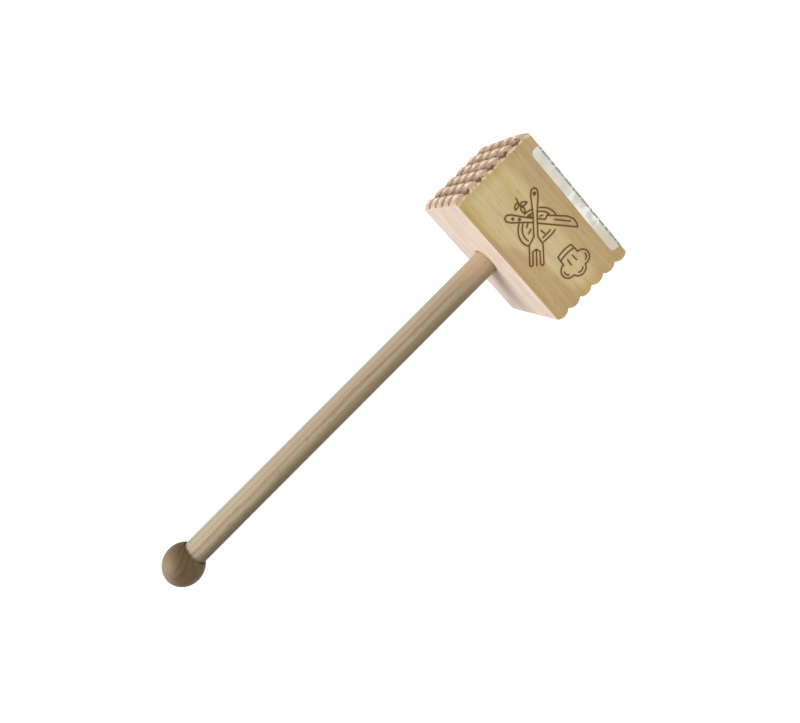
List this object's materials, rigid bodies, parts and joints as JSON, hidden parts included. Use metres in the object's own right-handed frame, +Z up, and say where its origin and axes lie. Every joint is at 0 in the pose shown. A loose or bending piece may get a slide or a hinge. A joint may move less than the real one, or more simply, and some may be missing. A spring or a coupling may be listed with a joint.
{
  "type": "meat mallet",
  "caption": "Wooden meat mallet: block head with a pyramid-toothed face and a ribbed face, a straight dowel handle and a ball end, with a film label folded over one edge.",
  "frame": {"origin": "centre of the head's flat back face, the face opposite the engraved one, which the mallet rests on", "axes": "+X along the handle from the head to the ball, +Z up through the depth of the head to the engraved front face, -Y out of the toothed striking face and +Y out of the ribbed one"},
  "size_m": [0.329, 0.0954, 0.0625],
  "materials": {
    "head_wood": "planed beech, unvarnished, satin",
    "handle_wood": "sanded beech dowel",
    "ball_wood": "turned wood, brown",
    "label_film": "thin self-adhesive film, glossy"
  },
  "bodies": {
    "root": {"head_block": "head_wood", "handle": "handle_wood", "ball_knob": "ball_wood", "label": "label_film"}
  },
  "joints": []
}
